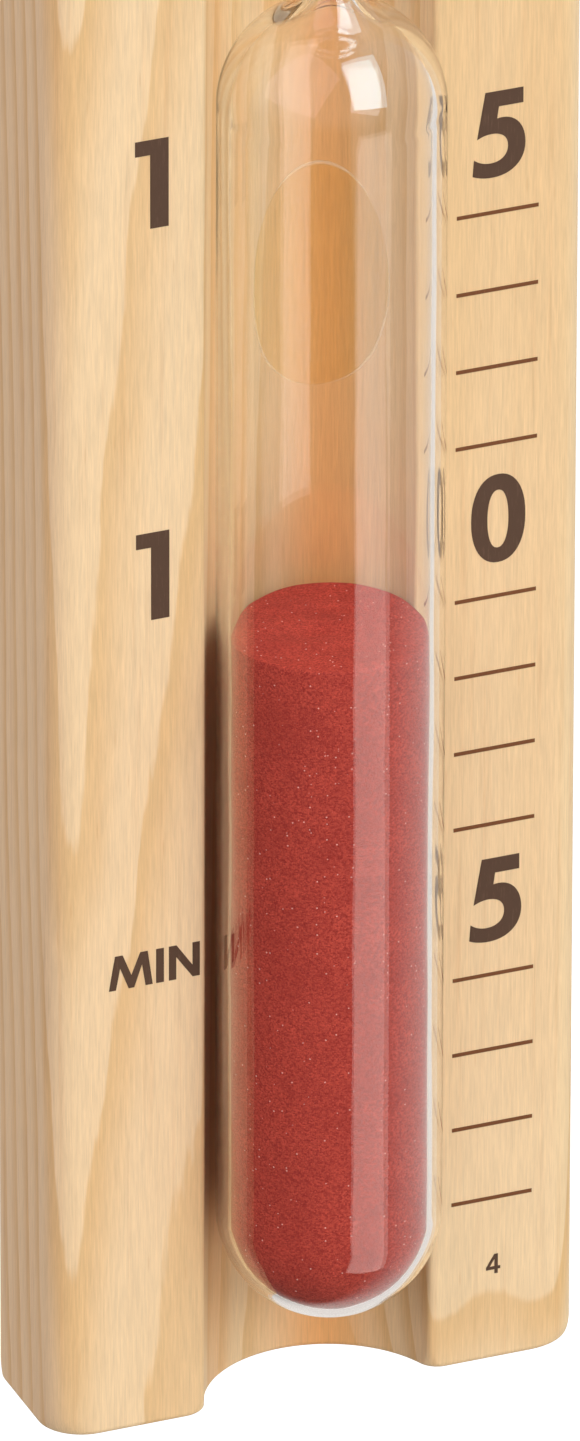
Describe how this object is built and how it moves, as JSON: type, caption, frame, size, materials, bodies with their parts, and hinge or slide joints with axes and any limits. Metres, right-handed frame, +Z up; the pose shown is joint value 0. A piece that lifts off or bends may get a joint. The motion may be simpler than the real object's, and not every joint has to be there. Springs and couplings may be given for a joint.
{
  "type": "wall sand timer",
  "caption": "Wall-hung sand timer: a glass double bulb in a grooved pine block that turns end over end on a pivot in front of a small wall plate.",
  "frame": {"origin": "on the pivot's axis, at the wall plate's back face, which lies against the wall", "axes": "+Z up along the long side, +Y into the wall along the pivot, the vial faces -Y, +X to the right as seen from the front"},
  "size_m": [0.05, 0.0384, 0.283],
  "materials": {
    "pine": "planed and sanded pine, matt",
    "clear_glass": "clear, polished",
    "stopper_silicone": "satin",
    "red_sand": "fine red grains",
    "clear_silicone": "clear, glossy",
    "white_nylon": "satin",
    "zinc_steel": "zinc plated",
    "spring_steel": "bright",
    "felt": "pressed felt",
    "brass": "turned",
    "plate_pine": "planed pine, matt"
  },
  "bodies": {
    "wall_group": {"wall_plate": "plate_pine", "threaded_insert": "brass", "friction_washer": "felt", "spring_washer": "spring_steel", "pivot_screw": "zinc_steel"},
    "turning_block": {"timer_body": "pine", "glass_vial": "clear_glass", "fill_stopper": "stopper_silicone", "sand_charge": "red_sand", "glue_dab_lower": "clear_silicone", "glue_dab_upper": "clear_silicone", "pivot_bush": "white_nylon"}
  },
  "joints": [
    {"name": "block_turn", "type": "hinge", "parent": "wall_group", "child": "turning_block", "pos_m": [0, 0, 0], "axis": [0, 1, 0], "continuous": true}
  ]
}
